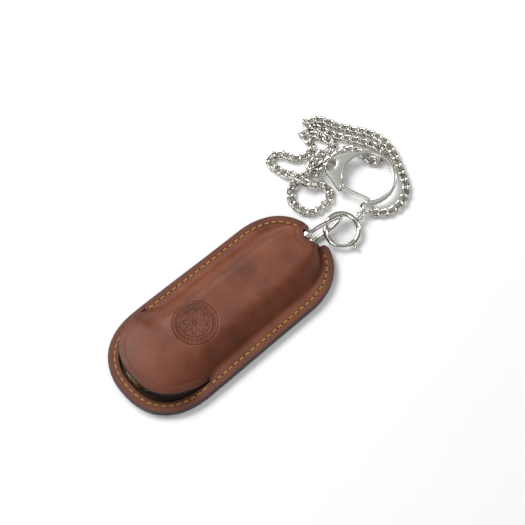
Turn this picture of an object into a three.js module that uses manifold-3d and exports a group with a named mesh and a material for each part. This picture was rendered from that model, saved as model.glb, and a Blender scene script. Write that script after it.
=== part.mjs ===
// Leather slip case with a pocket knife inside, held by a spring ring, a curb chain and a snap hook.
// Millimetres, +Z up. The origin is the middle of the case's flat back. +X runs along the case towards
// its notched end, where the chain leaves; the mouth that the knife goes in by is at -X.
import * as THREE from "three";
import { mergeVertices } from "three/addons/utils/BufferGeometryUtils.js";
import Module from "manifold-3d";

const wasm = await Module();
wasm.setup();

// ---------- driving dimensions ----------
const caseLength = 109.6;
const caseHalfWidth = 24.7;
const caseEndLength = 27;
const caseEndRoundness = 2.3;
const leather = 1.8;
const seamGap = 0.1;
const flangeWidth = 5.6;
const stitchInset = 3;
const threadDiameter = 0.8;
const notchHalfWidth = 4.5;
const notchBottomX = 47;
const notchCentreY = -0.2;
const lobeRounding = 2.2;
const crownHeight = 12.65;
const crownPlateau = 0.33; // share of the slope's width that stays nearly flat
const mouthDroop = 1.2;
const notchDroop = 0.2;
const facingWidth = 4.8;

const knifeCentreY = 0.6;
const knifeHalfWidth = 11.4;
const knifeFootX = -37.9;
const knifeTaperX = 8;
const knifeNoseX = 46.3;
const knifeNoseRadius = 4.6;
const knifeBase = 2.15;
const scaleThickness = 2;
const cheekRounding = 1.7;
const linerThickness = 0.8;
const layerGap = 0.15;
const bladeThickness = 2.2;
const bolsterJointFoot = -36;
const bolsterJointHead = 33;
const pinRadius = 1.1;
const pinClearance = 0.15;
const pivotPin = new THREE.Vector2(-39, 4.5);
const springPin = new THREE.Vector2(2, 9);
const shacklePin = new THREE.Vector2(49.1, 0.4);

const shackleWire = 1.9;
const ringCentre = new THREE.Vector3(63.8, -5.1, 3.6);
const ringTilt = 0.17;
const ringRadius = 7.3;
const ringTube = 1.15;
const ringBore = 0.85;
const ringBoltRadius = 0.7;
const ringOpenFrom = -165;
const ringOpenTo = -107;
const knobAngle = -93;
const boltTravel = 55;

const layoutAngle = -40.9; // the hook was laid down turned by this much about +Z
const hookCentre = new THREE.Vector3(88.4, 6, 4.1);
const hookTilt = 3;
const hookOuterRadius = 12.8;
const hookInnerRadius = 10.9;
const hookThickness = 2.1;

const chainTubeRadius = 1.45;
const chainSections = 8;
const chainSteps = 78;

const linkWire = 0.9;

// The chain's run, from the jump ring at the spring ring to the ring in the hook's eye.
const chainRoute = [
  [80.6, -7.7, 1.6], [84.7, -11, 1.5], [91.9, -11.8, 1.5], [98.2, -8.4, 1.5],
  [102.9, 0.9, 1.5], [106.3, 11.7, 1.5], [105.1, 20.1, 1.5], [96.3, 33.4, 1.5],
  [91.3, 42, 1.5], [86.4, 44, 1.5], [88.6, 38.9, 1.5], [92.2, 31, 1.5],
  [98.1, 22.6, 1.5], [102, 15.1, 1.5], [101.7, 9.8, 1.5], [96.3, 10.7, 1.5],
  [95, 17.6, 1.5], [91.6, 22.7, 1.5], [84.6, 23.7, 1.5], [76.3, 24.7, 1.5],
  [68.6, 25.7, 1.5], [61, 24.5, 1.5], [56.8, 19.6, 1.5], [58.6, 11.9, 1.5],
  [65, 9.4, 1.5], [71.8, 11.6, 1.5], [71.9, 16.6, 1.9], [66.7, 21.2, 4.6],
  [65.3, 27.1, 4.4], [62.5, 33.8, 1.5], [62.1, 41.2, 1.5], [67.2, 40.7, 1.5],
  [72, 34.1, 1.5], [79.5, 32.5, 1.5], [81.6, 38.4, 1.5], [82.4, 41.6, 1.5],
  [87, 34.1, 1.5], [88.3, 28.4, 1.5], [80.5, 28.6, 1.6], [72.6, 26.2, 4.6],
];

// ---------- helpers ----------
const colours = {
  caseLeather: { color: 0x7a4530, roughness: 0.55, metalness: 0 },
  thread: { color: 0xc08a2a, roughness: 0.8, metalness: 0 },
  nickel: { color: 0xc9c8c2, roughness: 0.15, metalness: 1 },
  steel: { color: 0xb4b6b8, roughness: 0.3, metalness: 1 },
  brass: { color: 0xb08d4f, roughness: 0.35, metalness: 1 },
  horn: { color: 0x2b1d15, roughness: 0.4, metalness: 0 },
};
const root = new THREE.Group();

function piece(name, geometry, finish, parent = root) {
  const mesh = new THREE.Mesh(geometry, new THREE.MeshStandardMaterial(colours[finish]));
  mesh.name = name;
  parent.add(mesh);
  return mesh;
}

function bare(geometry) {
  const copy = geometry.clone();
  copy.deleteAttribute("normal");
  copy.deleteAttribute("uv");
  return mergeVertices(copy, 1e-4);
}

function solid(geometry) {
  const merged = bare(geometry);
  const index = merged.index.array;
  const kept = [];
  for (let i = 0; i < index.length; i += 3) {
    const [a, b, c] = index.slice(i, i + 3);
    if (a !== b && b !== c && a !== c) kept.push(a, b, c);
  }
  return new wasm.Manifold(
    new wasm.Mesh({
      numProp: 3,
      vertProperties: merged.attributes.position.array,
      triVerts: new Uint32Array(kept),
    }),
  );
}

function fromSolid(body) {
  const mesh = body.getMesh();
  const geometry = new THREE.BufferGeometry();
  geometry.setAttribute("position", new THREE.BufferAttribute(mesh.vertProperties, 3));
  geometry.setIndex(new THREE.BufferAttribute(mesh.triVerts, 1));
  return geometry;
}

const smooth = (t) => {
  const c = Math.min(Math.max(t, 0), 1);
  return c * c * (3 - 2 * c);
};
const mix = (a, b, t) => a + (b - a) * t;

// A closed body between two height functions, over stations along X from yLow(x) to yHigh(x).
function loft(stations, across, yLow, yHigh, zLow, zHigh) {
  const points = [];
  const faces = [];
  const rows = across + 1;
  for (const z of [zLow, zHigh])
    for (const x of stations)
      for (let j = 0; j <= across; j++) {
        const y = mix(yLow(x), yHigh(x), 0.5 - 0.5 * Math.cos((Math.PI * j) / across));
        points.push(x, y, z(x, y));
      }
  const top = stations.length * rows;
  const quad = (a, b, c, d) => faces.push(a, b, c, a, c, d);
  for (let i = 0; i + 1 < stations.length; i++)
    for (let j = 0; j < across; j++) {
      const a = i * rows + j;
      quad(a, a + 1, a + rows + 1, a + rows);
      quad(top + a, top + a + rows, top + a + rows + 1, top + a + 1);
    }
  for (let i = 0; i + 1 < stations.length; i++)
    for (const [j, turned] of [[0, false], [across, true]]) {
      const a = i * rows + j;
      if (turned) quad(a, top + a, top + a + rows, a + rows);
      else quad(a, a + rows, top + a + rows, top + a);
    }
  for (const [i, turned] of [[0, true], [stations.length - 1, false]])
    for (let j = 0; j < across; j++) {
      const a = i * rows + j;
      if (turned) quad(a, top + a, top + a + 1, a + 1);
      else quad(a, a + 1, top + a + 1, top + a);
    }
  const geometry = new THREE.BufferGeometry();
  geometry.setAttribute("position", new THREE.BufferAttribute(new Float32Array(points), 3));
  geometry.setIndex(faces);
  return geometry;
}

// Stations from a to b, closer together at both ends.
function stations(a, b, count) {
  const share = (i) => 0.5 - 0.5 * Math.cos((Math.PI * i) / count);
  return Array.from({ length: count + 1 }, (_, i) => mix(a, b, share(i)));
}

function circleShape(radius, sides = 12) {
  const shape = new THREE.Shape();
  for (let i = 0; i < sides; i++) {
    const a = (2 * Math.PI * i) / sides;
    if (i) shape.lineTo(radius * Math.cos(a), radius * Math.sin(a));
    else shape.moveTo(radius, 0);
  }
  shape.closePath();
  return shape;
}

function wire(curve, radius, steps, sides = 8) {
  const options = { extrudePath: curve, steps, bevelEnabled: false };
  return new THREE.ExtrudeGeometry(circleShape(radius, sides), options);
}

function plate(shape, thickness, z) {
  const options = { depth: thickness, bevelEnabled: false, curveSegments: 10 };
  return new THREE.ExtrudeGeometry(shape, options).translate(0, 0, z);
}

function rod(radius, zFrom, zTo, at, sides = 16) {
  return new THREE.CylinderGeometry(radius, radius, zTo - zFrom, sides)
    .rotateX(Math.PI / 2)
    .translate(at.x, at.y, (zFrom + zTo) / 2);
}

function drilled(geometry, pins) {
  let body = solid(geometry);
  for (const [at, radius] of pins) body = body.subtract(solid(rod(radius + pinClearance, -5, 20, at)));
  return fromSolid(body);
}

// A ring of round wire: an oval when it is long, standing on edge when it is turned.
function linkGeometry(outerLength, outerWidth, wireDiameter, steps = 20) {
  const half = (outerLength - outerWidth) / 2;
  const radius = (outerWidth - wireDiameter) / 2;
  const arc = (x, from) => {
    const points = [];
    for (let i = 0; i <= 8; i++) {
      const a = from + (Math.PI * i) / 8;
      points.push(new THREE.Vector3(x + radius * Math.cos(a), radius * Math.sin(a), 0));
    }
    return points;
  };
  const points = [...arc(half, -Math.PI / 2), ...arc(-half, Math.PI / 2)];
  const closed = new THREE.CatmullRomCurve3(points, true);
  const positions = [];
  const faces = [];
  const sides = 6;
  for (let i = 0; i < steps; i++) {
    const centre = closed.getPointAt(i / steps);
    const along = closed.getTangentAt(i / steps);
    const out = new THREE.Vector3(along.y, -along.x, 0).normalize();
    for (let k = 0; k < sides; k++) {
      const a = (2 * Math.PI * k) / sides;
      const r = wireDiameter / 2;
      positions.push(
        centre.x + out.x * r * Math.cos(a),
        centre.y + out.y * r * Math.cos(a),
        r * Math.sin(a),
      );
      const a0 = i * sides + k;
      const a1 = i * sides + ((k + 1) % sides);
      const b0 = ((i + 1) % steps) * sides + k;
      const b1 = ((i + 1) % steps) * sides + ((k + 1) % sides);
      faces.push(a0, a1, b1, a0, b1, b0);
    }
  }
  const geometry = new THREE.BufferGeometry();
  geometry.setAttribute("position", new THREE.BufferAttribute(new Float32Array(positions), 3));
  geometry.setIndex(faces);
  if (solid(geometry).volume() < 0) geometry.index.array.reverse();
  return geometry;
}

// ---------- leather case ----------
function caseHalf(x) {
  const past = (Math.abs(x) - (caseLength / 2 - caseEndLength)) / caseEndLength;
  const taper = mix(caseHalfWidth, caseHalfWidth - 0.8, smooth((x + 30) / 60));
  if (past <= 0) return taper;
  return taper * Math.pow(Math.max(1 - Math.pow(past, caseEndRoundness), 0), 1 / caseEndRoundness);
}
const caseEnd = caseLength / 2;

// The case's outline, moved inwards, from one angle of travel to another, as a list of points.
function outlinePoints(inset, fromX, toX, side, count) {
  const points = [];
  for (let i = 0; i <= count; i++) {
    const x = mix(fromX, toX, i / count);
    const step = 0.05;
    const y = caseHalf(x);
    const ahead = caseHalf(Math.min(x + step, caseEnd));
    const behind = caseHalf(Math.max(x - step, -caseEnd));
    const slope = (ahead - behind) / (2 * step);
    const long = Math.hypot(slope, 1);
    points.push(new THREE.Vector2(x + (inset * slope) / long, side * (y - inset / long)));
  }
  return points;
}

function notchCutter() {
  const mouthX = caseEnd - 0.8 - lobeRounding;
  const half = notchHalfWidth;
  const shape = new THREE.Shape();
  shape.moveTo(caseEnd + 5, -half - 2 * lobeRounding);
  shape.lineTo(mouthX + lobeRounding, -half - lobeRounding);
  shape.absarc(mouthX, -half - lobeRounding, lobeRounding, 0, Math.PI / 2, false);
  shape.absarc(notchBottomX + half, 0, half, -Math.PI / 2, Math.PI / 2, true);
  shape.absarc(mouthX, half + lobeRounding, lobeRounding, -Math.PI / 2, 0, false);
  shape.lineTo(caseEnd + 5, half + 2 * lobeRounding);
  shape.closePath();
  return solid(plate(shape, 30, -5).translate(0, notchCentreY, 0));
}

const endTrim = 0.12;
const backStations = stations(-caseEnd + endTrim, caseEnd - endTrim, 30);
const backPanel = loft(
  backStations,
  4,
  (x) => -caseHalf(x),
  (x) => caseHalf(x),
  () => 0,
  () => leather,
);
piece("case_back_panel", fromSolid(solid(backPanel).subtract(notchCutter())), "caseLeather");

const frontBase = leather + seamGap;
const flangeTop = frontBase + leather;

// Towards the mouth the front panel is free: a tongue that arches over the knife.
const tongueStart = -24;
const tongueTip = -51;
const tongueMiddleY = 0.3;
const tongueHalfWidth = 21.8;
const tongueRoundness = 2.4;
const tongueStep = 0.6;
function tongueHalf(x) {
  const share = Math.min(Math.max((tongueStart - x) / (tongueStart - tongueTip), 0), 1);
  return tongueHalfWidth * Math.pow(1 - Math.pow(share, tongueRoundness), 1 / tongueRoundness);
}
const isTongue = (x) => x < tongueStart;
const frontHigh = (x) => (isTongue(x) ? tongueMiddleY + tongueHalf(x) : caseHalf(x));
const frontLow = (x) => (isTongue(x) ? tongueMiddleY - tongueHalf(x) : -caseHalf(x));

function knifeHalf(x) {
  if (x < knifeFootX) return Math.sqrt(Math.max(knifeHalfWidth ** 2 - (x - knifeFootX) ** 2, 0));
  if (x < knifeTaperX) return knifeHalfWidth;
  const narrow = smooth((x - knifeTaperX) / (knifeNoseX - knifeTaperX));
  const width = mix(knifeHalfWidth, knifeNoseRadius, narrow);
  if (x < knifeNoseX) return width;
  return Math.sqrt(Math.max(knifeNoseRadius ** 2 - (x - knifeNoseX) ** 2, 0));
}

// How far from the middle the crown's slope ends: at the flange, or at the tongue's edge.
const slopeEndAtNotch = 5.2;
function slopeEnd(x) {
  const alongSide = Math.min(caseHalf(x) - flangeWidth, caseHalf(Math.min(x + 4.2, caseEnd)) - 2);
  const body = Math.max(alongSide, slopeEndAtNotch);
  return mix(body, tongueHalfWidth, smooth((-17 - x) / 9));
}

// The tongue's edge stands up off the seam, sooner on the +Y side.
function edgeLift(x, side) {
  return side > 0 ? 5 * smooth((-20.5 - x) / 9.5) : 4.6 * smooth((-21 - x) / 17);
}

// The front panel's upper surface: flat at the seam and crowned over the knife.
function frontTop(x, y) {
  const off = y - mix(knifeCentreY, tongueMiddleY, smooth((-17 - x) / 9));
  const share = Math.abs(off) / slopeEnd(x);
  const past = Math.min(Math.max((share - crownPlateau) / (1 - crownPlateau), 0), 1);
  const fall = mix(smooth(Math.pow(past, 1.5)), Math.min(share, 1) ** 2.4, smooth((-17 - x) / 9));
  const droop = mouthDroop * smooth((-38 - x) / 12) + notchDroop * smooth((x - 36) / 14);
  const edge = flangeTop + edgeLift(x, Math.sign(off));
  return edge + (crownHeight - droop - edge) * (1 - fall);
}

const frontPanel = loft(
  [
    ...stations(tongueTip + 0.1, tongueStart - tongueStep, 12),
    ...stations(tongueStart + tongueStep, caseEnd - endTrim, 21),
  ],
  14,
  frontLow,
  frontHigh,
  (x, y) => frontTop(x, y) - leather,
  frontTop,
);
piece("case_front_panel", fromSolid(solid(frontPanel).subtract(notchCutter())), "caseLeather");

// The smooth facing strip sewn round the mouth, on top of the back panel.
const facingEndHigh = -25.2;
const facingEndLow = -25.2;
const facingShape = new THREE.Shape([
  ...outlinePoints(0, facingEndHigh, -caseEnd + endTrim, 1, 16),
  ...outlinePoints(0, -caseEnd + endTrim, facingEndLow, -1, 24),
  ...outlinePoints(facingWidth, facingEndLow, -caseEnd + 1.2, -1, 24),
  ...outlinePoints(facingWidth, -caseEnd + 1.2, facingEndHigh, 1, 16),
]);
const fitGap = 0.35;
let facing = solid(plate(facingShape, leather, frontBase));
const fitSteps = [[1, 0, 0], [-1, 0, 0], [0, 1, 0], [0, -1, 0], [0, 0, -1], [0, 0, 0]];
for (const [x, y, z] of fitSteps)
  facing = facing.subtract(solid(frontPanel.clone().translate(fitGap * x, fitGap * y, fitGap * z)));
const facingBodies = facing.decompose().sort((a, b) => b.volume() - a.volume());
piece("case_mouth_facing", fromSolid(facingBodies[0]), "caseLeather");

// Thread runs lie just above the leather, at the stitch line.
function threadRun(points, z) {
  const curve = new THREE.CatmullRomCurve3(points.map((p) => new THREE.Vector3(p.x, p.y, z)));
  return wire(curve, threadDiameter / 2, 30, 5);
}
const threadZ = flangeTop + threadDiameter / 2 + 0.3;
const threadEnd = 51.2;
const leftRunStart = -21.2;
const rightRunStart = -22.6;
const mouthRunHigh = -30.5;
const mouthRunLow = -32;
const leftRun = outlinePoints(stitchInset, leftRunStart, threadEnd, 1, 40);
const rightRun = outlinePoints(stitchInset, rightRunStart, threadEnd, -1, 36);
piece("thread_run_left", threadRun(leftRun, threadZ), "thread");
piece("thread_run_right", threadRun(rightRun, threadZ), "thread");
const mouthRun = [
  ...outlinePoints(stitchInset, mouthRunHigh, -caseEnd + 0.6, 1, 10),
  ...outlinePoints(stitchInset, -caseEnd + 0.6, mouthRunLow, -1, 16),
];
piece("thread_run_mouth", threadRun(mouthRun, threadZ), "thread");

// ---------- pocket knife ----------
const knife = new THREE.Group();
root.add(knife);
const footTip = knifeFootX - knifeHalfWidth + 0.2;
const noseTip = knifeNoseX + knifeNoseRadius - 0.15;
const knifeLow = (inset) => (x) => knifeCentreY - Math.max(knifeHalf(x) - inset, 0.3);
const knifeHigh = (inset) => (x) => knifeCentreY + Math.max(knifeHalf(x) - inset, 0.3);
const levels = {};
levels.backScale = [knifeBase, knifeBase + scaleThickness];
levels.backLiner = [levels.backScale[1], levels.backScale[1] + linerThickness];
levels.blade = [levels.backLiner[1] + layerGap, levels.backLiner[1] + layerGap + bladeThickness];
levels.frontLiner = [levels.blade[1] + layerGap, levels.blade[1] + layerGap + linerThickness];
levels.frontScale = [levels.frontLiner[1], levels.frontLiner[1] + scaleThickness];
const knifePins = [[pivotPin, pinRadius], [springPin, pinRadius], [shacklePin, pinRadius]];

// A rounded plate on one side of the knife; outwards is +1 for the front and -1 for the back.
function cheek(fromX, toX, level, outwards, inset, count) {
  const rounding = (x, y) => {
    const past = Math.max(knifeFootX - x, x - knifeNoseX, 0);
    const radius = x < knifeFootX ? knifeHalfWidth : Math.max(knifeHalf(x), knifeNoseRadius);
    const share = Math.min((Math.hypot(past, y - knifeCentreY) + inset) / radius, 1);
    return cheekRounding * Math.pow(share, 5);
  };
  const flat = outwards > 0 ? level[0] : level[1];
  const low = outwards > 0 ? () => flat : (x, y) => level[0] + rounding(x, y);
  const high = outwards > 0 ? (x, y) => level[1] - rounding(x, y) : () => flat;
  return loft(stations(fromX, toX, count), 6, knifeLow(inset), knifeHigh(inset), low, high);
}

const jointGap = 0.1;
const scaleInset = 0.3;
for (const [side, level, outwards] of [["front", levels.frontScale, 1], ["back", levels.backScale, -1]]) {
  const scaleFrom = bolsterJointFoot + jointGap;
  const scaleTo = bolsterJointHead - jointGap;
  const scale = cheek(scaleFrom, scaleTo, level, outwards, scaleInset, 9);
  const foot = cheek(footTip, bolsterJointFoot, level, outwards, 0, 7);
  const head = cheek(bolsterJointHead, noseTip, level, outwards, 0, 8);
  piece(`knife_${side}_scale`, drilled(scale, knifePins), "horn", knife);
  piece(`knife_${side}_foot_bolster`, drilled(foot, knifePins), "nickel", knife);
  piece(`knife_${side}_head_bolster`, drilled(head, knifePins), "nickel", knife);
}
for (const [side, level] of [["front", levels.frontLiner], ["back", levels.backLiner]]) {
  const liner = loft(
    stations(footTip, noseTip, 18),
    1,
    knifeLow(0),
    knifeHigh(0),
    () => level[0] + (side === "front" ? 0 : 0.02),
    () => level[1] - (side === "front" ? 0.02 : 0),
  );
  piece(`knife_${side}_liner`, drilled(liner, knifePins), "brass", knife);
}

// The back spring fills the spine; the folded blade lies along the other side.
const springInner = (x) => knifeCentreY + mix(knifeHalf(x) - 5, -4, smooth((x - 38) / 8));
const backSpring = loft(
  stations(-30, noseTip - 0.4, 14),
  1,
  springInner,
  knifeHigh(0.2),
  () => levels.blade[0],
  () => levels.blade[1],
);
piece("knife_back_spring", drilled(backSpring, knifePins), "steel", knife);

const bladeShape = new THREE.Shape();
bladeShape.moveTo(-42, 8);
bladeShape.quadraticCurveTo(-47, 3, -46.5, -2);
bladeShape.quadraticCurveTo(-43, -8.6, -36, -10);
bladeShape.lineTo(8, -10);
bladeShape.quadraticCurveTo(26, -8, 36, -3);
bladeShape.quadraticCurveTo(26, 1.5, 8, 4);
bladeShape.lineTo(-32, 5.6);
bladeShape.lineTo(-34, 8);
bladeShape.closePath();
piece("knife_blade", drilled(plate(bladeShape, bladeThickness, levels.blade[0]), knifePins), "steel", knife);

const pinEnd = 0.25;
const knifeTop = levels.frontScale[1];
piece("knife_pivot_pin", rod(pinRadius, knifeBase + pinEnd, knifeTop - pinEnd, pivotPin), "nickel", knife);
piece("knife_spring_pin", rod(pinRadius, knifeBase + pinEnd, knifeTop - pinEnd, springPin), "nickel", knife);

// ---------- shackle and its pin ----------
const lowerLegZ = 1.05;
const upperLegZ = knifeTop + 0.25 + shackleWire / 2;
const shackleCurve = new THREE.CatmullRomCurve3(
  [
    [shacklePin.x, shacklePin.y, upperLegZ],
    [54, 0.4, upperLegZ - 0.6],
    [60.5, 0, 8.7],
    [65.2, -0.5, 6.9],
    [66.9, -0.7, 5.5],
    [65.8, -0.9, 4],
    [61, -1.1, 2.6],
    [55.5, -0.5, 1.4],
    [shacklePin.x, shacklePin.y, lowerLegZ],
  ].map((p) => new THREE.Vector3(...p)),
);
const eyeRadius = 1.9;
let shackle = solid(wire(shackleCurve, shackleWire / 2, 26, 8));
for (const z of [lowerLegZ, upperLegZ])
  shackle = shackle.add(solid(rod(eyeRadius, z - shackleWire / 2, z + shackleWire / 2, shacklePin)));
shackle = shackle.subtract(solid(rod(pinRadius + pinClearance, -5, 20, shacklePin)));
piece("shackle", fromSolid(shackle), "nickel");
piece(
  "shackle_pin",
  rod(pinRadius, lowerLegZ - shackleWire / 2, upperLegZ + shackleWire / 2 + 0.3, shacklePin),
  "nickel",
  knife,
);

// ---------- spring ring ----------
class Arc3 extends THREE.Curve {
  constructor(radius, fromDegrees, toDegrees) {
    super();
    this.radius = radius;
    this.from = THREE.MathUtils.degToRad(fromDegrees);
    this.to = THREE.MathUtils.degToRad(toDegrees);
  }
  getPoint(t, target = new THREE.Vector3()) {
    const a = mix(this.from, this.to, t);
    return target.set(this.radius * Math.cos(a), this.radius * Math.sin(a), 0);
  }
}
const polar = (radius, degrees, z = 0) => {
  const a = THREE.MathUtils.degToRad(degrees);
  return new THREE.Vector3(radius * Math.cos(a), radius * Math.sin(a), z);
};
const ring = new THREE.Group();
ring.position.copy(ringCentre);
ring.rotation.x = Math.atan(ringTilt);
root.add(ring);

const tubeSection = circleShape(ringTube, 10);
tubeSection.holes.push(new THREE.Path(circleShape(ringBore, 10).getPoints().reverse()));
const tubeArc = new Arc3(ringRadius, ringOpenTo, ringOpenFrom + 360);
const tubeOptions = { extrudePath: tubeArc, steps: 26, bevelEnabled: false };
let tube = solid(new THREE.ExtrudeGeometry(tubeSection, tubeOptions));
const slotShape = new THREE.Shape();
const slotFrom = THREE.MathUtils.degToRad(knobAngle - 7);
const slotTo = THREE.MathUtils.degToRad(knobAngle + boltTravel + 7);
slotShape.absarc(0, 0, ringRadius + ringTube + 0.5, slotFrom, slotTo, false);
slotShape.absarc(0, 0, ringRadius, slotTo, slotFrom, true);
slotShape.closePath();
tube = tube.subtract(solid(plate(slotShape, 1.1, -0.55)));
const ringEyeRadius = 1.5;
const ringEyeCentre = polar(ringRadius + ringTube + ringEyeRadius - 0.1, 0);
const ringEye = linkGeometry(2 * ringEyeRadius + linkWire, 2 * ringEyeRadius + linkWire, linkWire, 20);
// The bore stays open behind the place where the eye is brazed on.
const boreAtEye = wire(new Arc3(ringRadius, -30, 30), ringBore + 0.05, 10, 12);
tube = tube.add(solid(ringEye.translate(ringEyeCentre.x, 0, 0)).subtract(solid(boreAtEye)));
piece("spring_ring_tube", fromSolid(tube), "nickel", ring);

const boltBack = knobAngle + 7;
const bolt = solid(wire(new Arc3(ringRadius, ringOpenFrom - 6, boltBack), ringBoltRadius, 18, 8));
const stemRadius = 0.4;
const stemLength = 2.2;
const knobRadius = 0.75;
const knobStem = new THREE.CylinderGeometry(stemRadius, stemRadius, stemLength, 10)
  .rotateZ(Math.PI / 2)
  .translate(ringRadius + stemLength / 2, 0, 0)
  .rotateZ(THREE.MathUtils.degToRad(knobAngle));
const knobHead = new THREE.SphereGeometry(knobRadius, 10, 8)
  .translate(ringRadius + stemLength + 0.2, 0, 0)
  .rotateZ(THREE.MathUtils.degToRad(knobAngle));
piece("spring_ring_bolt", fromSolid(bolt.add(solid(knobStem)).add(solid(knobHead))), "nickel", ring);

// The little coil spring behind the bolt, drawn as the sleeve that it fills.
const springArc = new Arc3(ringRadius, boltBack + 3, -8);
piece("spring_ring_spring", wire(springArc, 0.6, 12, 8), "steel", ring);

// ---------- small link and jump ring ----------
const eyeAt = new THREE.Vector3(ringEyeCentre.x, 0, 0).applyEuler(ring.rotation).add(ringCentre);
const smallLink = new THREE.Group();
smallLink.position.set(eyeAt.x + 1.75, eyeAt.y + 0.35, 3.45);
smallLink.rotation.set(0, THREE.MathUtils.degToRad(20), THREE.MathUtils.degToRad(12), "ZYX");
root.add(smallLink);
piece("small_link", linkGeometry(5.4, 3.2, linkWire).rotateX(Math.PI / 2), "nickel", smallLink);

const jumpRing = new THREE.Group();
jumpRing.position.set(smallLink.position.x + 3.75, smallLink.position.y + 0.6, 2.05);
jumpRing.rotation.y = THREE.MathUtils.degToRad(21.4);
root.add(jumpRing);
piece("jump_ring", linkGeometry(6.6, 6.6, 1), "nickel", jumpRing);

// ---------- chain ----------
const chainCurve = new THREE.CatmullRomCurve3(
  chainRoute.map((p) => new THREE.Vector3(...p)),
  false,
  "centripetal",
);
chainCurve.arcLengthDivisions = 2000;

// The chain never dips below the table that it lies on.
class LaidCurve extends THREE.Curve {
  getPoint(t, target = new THREE.Vector3()) {
    chainCurve.getPointAt(t, target);
    return target.setZ(Math.max(target.z, chainTubeRadius + 0.05));
  }
}
piece("curb_chain", wire(new LaidCurve(), chainTubeRadius, chainSteps, chainSections), "nickel");

// ---------- snap hook ----------
const layout = new THREE.Group();
layout.position.copy(hookCentre);
layout.rotation.z = THREE.MathUtils.degToRad(layoutAngle);
root.add(layout);
const hook = new THREE.Group();
hook.rotation.x = THREE.MathUtils.degToRad(hookTilt);
layout.add(hook);

const noseAngle = -95;
const shoulderAngle = 107;
const gatePivot = new THREE.Vector2(-11.5, -4.5);
const gateLength = 13.8;
const gateDirection = Math.atan2(-6.1, 12.9);
const hookShape = new THREE.Shape();
const noseTurn = THREE.MathUtils.degToRad(noseAngle);
const shoulderTurn = THREE.MathUtils.degToRad(shoulderAngle);
hookShape.absarc(0, 0, hookOuterRadius, noseTurn, shoulderTurn, false);
hookShape.quadraticCurveTo(-9.4, 12.7, -13.6, 10.5);
hookShape.quadraticCurveTo(-18.5, 8, -18.9, 4.9);
hookShape.quadraticCurveTo(-18.7, 2.6, -16, -1);
hookShape.lineTo(-13.5, -5.1);
hookShape.quadraticCurveTo(-12.2, -6.8, -10.6, -5.6);
hookShape.absarc(0, 0, hookInnerRadius, Math.PI + 0.34, noseTurn, true);
hookShape.closePath();
const hookPlate = new THREE.ExtrudeGeometry(hookShape, {
  depth: hookThickness,
  bevelEnabled: false,
  curveSegments: 22,
}).translate(0, 0, -hookThickness / 2);

// A slot in the plate's lower corner takes the gate's tail.
const gateThickness = 0.9;
const gateSlot = new THREE.BoxGeometry(5, 6, gateThickness + 0.5);
gateSlot.translate(gatePivot.x + 1.2, gatePivot.y - 0.6, 0);
const eyeHole = new THREE.CylinderGeometry(1, 1, 6, 24)
  .rotateX(Math.PI / 2)
  .scale(1.7, 2.7, 1)
  .rotateZ(-0.5)
  .translate(-15.5, 5.9, 0);
const gatePinRadius = 0.5;
const gateBore = gatePinRadius + pinClearance;
let hookBody = solid(hookPlate).subtract(solid(gateSlot)).subtract(solid(eyeHole));
hookBody = hookBody.subtract(solid(rod(gateBore, -3, 3, gatePivot, 14)));
const hookBodies = hookBody.decompose().sort((a, b) => b.volume() - a.volume());
piece("snap_hook_body", fromSolid(hookBodies[0]), "nickel", hook);
const gatePinEnd = hookThickness / 2 - 0.05;
piece("gate_pivot_pin", rod(gatePinRadius, -gatePinEnd, gatePinEnd, gatePivot, 14), "nickel", hook);

const gate = new THREE.Group();
gate.position.set(gatePivot.x, gatePivot.y, 0);
gate.rotation.z = gateDirection;
hook.add(gate);
const gateShape = new THREE.Shape();
const gateKnuckle = 0.95;
const gateHalfWidth = 0.75;
gateShape.absarc(0, 0, gateKnuckle, Math.PI / 2, (3 * Math.PI) / 2, false);
gateShape.lineTo(gateLength - gateHalfWidth, -gateHalfWidth);
gateShape.absarc(gateLength - gateHalfWidth, 0, gateHalfWidth, -Math.PI / 2, Math.PI / 2, false);
gateShape.closePath();
const gateBar = solid(plate(gateShape, gateThickness, -gateThickness / 2));
const gateHole = solid(rod(gateBore, -3, 3, new THREE.Vector2(), 14));
piece("snap_gate", fromSolid(gateBar.subtract(gateHole)), "nickel", gate);

const gateSpring = new THREE.BoxGeometry(1.6, 0.4, 0.8);
gateSpring.translate(gatePivot.x - 0.2, gatePivot.y + 1.5, 0);
piece("gate_spring", gateSpring, "steel", hook);

// The ring that stands in the hook's eye and takes the chain's last link.
const eyeRing = new THREE.Group();
eyeRing.position.set(-18.8, 4.1, 0);
eyeRing.rotation.z = THREE.MathUtils.degToRad(29);
hook.add(eyeRing);
piece("hook_eye_ring", linkGeometry(8.2, 6.2, 1).rotateX(Math.PI / 2), "nickel", eyeRing);

export default root;
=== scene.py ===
import math
import random

import bmesh
import bpy
from bpy.props import FloatProperty, FloatVectorProperty, IntProperty, PointerProperty
from mathutils import Matrix, Vector, noise
from mathutils.kdtree import KDTree


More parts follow.
